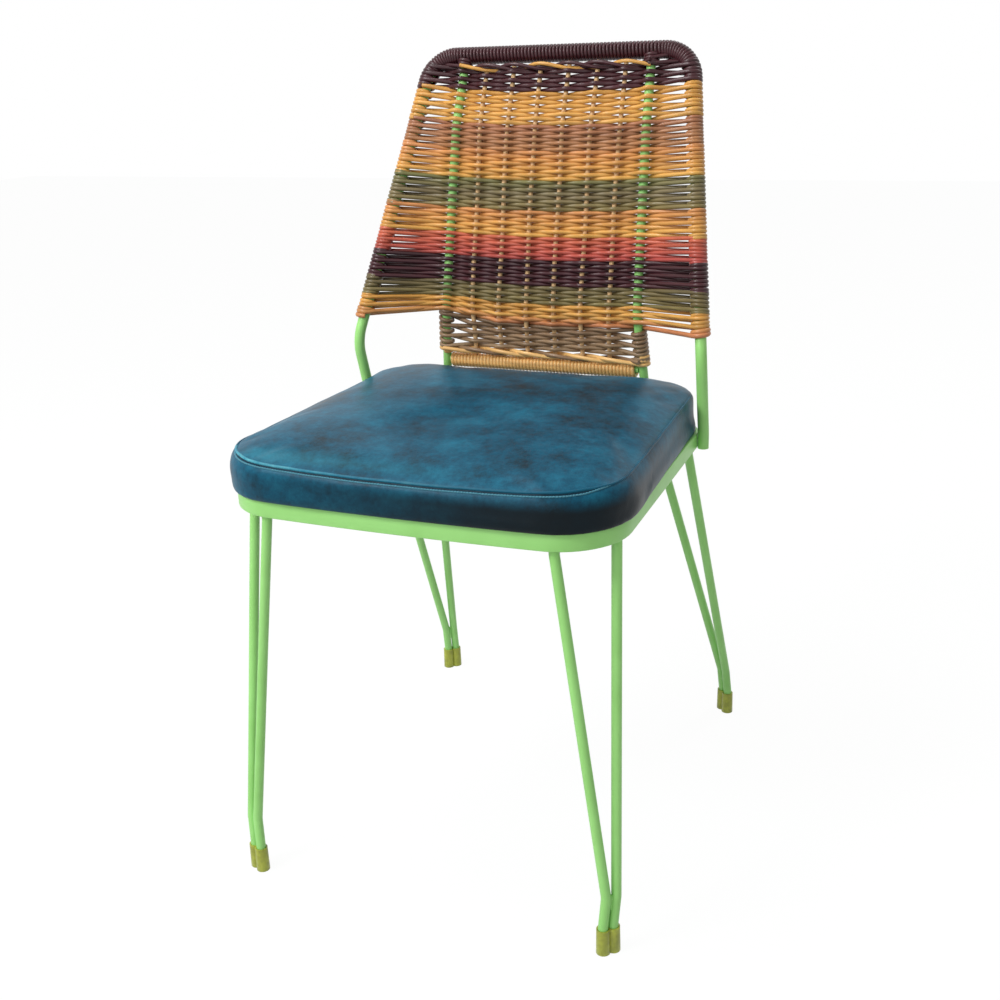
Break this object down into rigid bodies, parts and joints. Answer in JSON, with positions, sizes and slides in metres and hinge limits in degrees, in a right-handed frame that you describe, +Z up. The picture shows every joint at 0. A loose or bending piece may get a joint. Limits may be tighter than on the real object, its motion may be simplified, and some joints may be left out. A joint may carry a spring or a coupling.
{
  "type": "bistro chair",
  "caption": "Bistro chair with a painted rod frame, splayed paired-rod legs, a padded square seat and a woven strand back in colour bands on a bent tube hoop.",
  "frame": {"origin": "On the floor, at the middle of the chair's bounding footprint.", "axes": "+Z up, -Y towards the front where the sitter's knees are, +X to the right of someone who faces the chair's front from before it."},
  "size_m": [0.4152, 0.5296, 0.8265],
  "materials": {
    "frame_paint": "satin powder coat",
    "amber_plastic": "translucent",
    "rattan_stake": "natural",
    "strand_plum": "semi-gloss strand",
    "strand_ochre": "semi-gloss strand",
    "strand_pink_brown": "semi-gloss strand",
    "strand_orange": "semi-gloss strand",
    "strand_olive_grey": "semi-gloss strand",
    "strand_red": "semi-gloss strand",
    "strand_khaki": "semi-gloss strand",
    "strand_pink": "semi-gloss strand",
    "strand_grey_brown": "semi-gloss strand",
    "strand_tan": "semi-gloss strand",
    "leatherette": "semi-gloss, mottled",
    "cushion_foam": "open-cell foam",
    "plywood": "raw",
    "zinc_screw": "zinc plated"
  },
  "bodies": {
    "root": {"back_hoop": "frame_paint", "back_rod_left": "frame_paint", "back_rod_right": "frame_paint", "crossbar_wrap": "strand_tan", "cushion_cover": "leatherette", "cushion_foam": "cushion_foam", "front_fixing_tab": "frame_paint", "front_left_leg_end_rod": "frame_paint", "front_left_leg_foot_cap": "amber_plastic", "front_left_leg_side_rod": "frame_paint", "front_right_leg_end_rod": "frame_paint", "front_right_leg_foot_cap": "amber_plastic", "front_right_leg_side_rod": "frame_paint", "front_seat_screw": "zinc_screw", "left_fixing_tab": "frame_paint", "left_seat_screw": "zinc_screw", "lower_crossbar": "frame_paint", "rear_fixing_tab": "frame_paint", "rear_left_leg_end_rod": "frame_paint", "rear_left_leg_foot_cap": "amber_plastic", "rear_left_leg_side_rod": "frame_paint", "rear_right_leg_end_rod": "frame_paint", "rear_right_leg_foot_cap": "amber_plastic", "rear_right_leg_side_rod": "frame_paint", "rear_seat_screw": "zinc_screw", "right_fixing_tab": "frame_paint", "right_seat_screw": "zinc_screw", "seat_board": "plywood", "seat_rail": "frame_paint", "skirt_grey_brown": "strand_grey_brown", "skirt_tan": "strand_tan", "stake_1": "rattan_stake", "stake_2": "rattan_stake", "stake_3": "rattan_stake", "stake_4": "rattan_stake", "stake_5": "rattan_stake", "stake_6": "rattan_stake", "top_binding_left": "strand_plum", "top_binding_middle": "strand_plum", "top_binding_right": "strand_plum", "top_border_ochre": "strand_ochre", "top_border_plum": "strand_plum", "weave_ochre_lower": "strand_ochre", "weave_ochre_upper": "strand_ochre", "weave_olive_grey": "strand_olive_grey", "weave_olive_lower": "strand_khaki", "weave_orange_lower": "strand_orange", "weave_orange_upper": "strand_orange", "weave_pink_brown": "strand_pink_brown", "weave_pink_lower": "strand_pink", "weave_plum_lower": "strand_plum", "weave_plum_top": "strand_plum", "weave_red": "strand_red"}
  },
  "joints": []
}
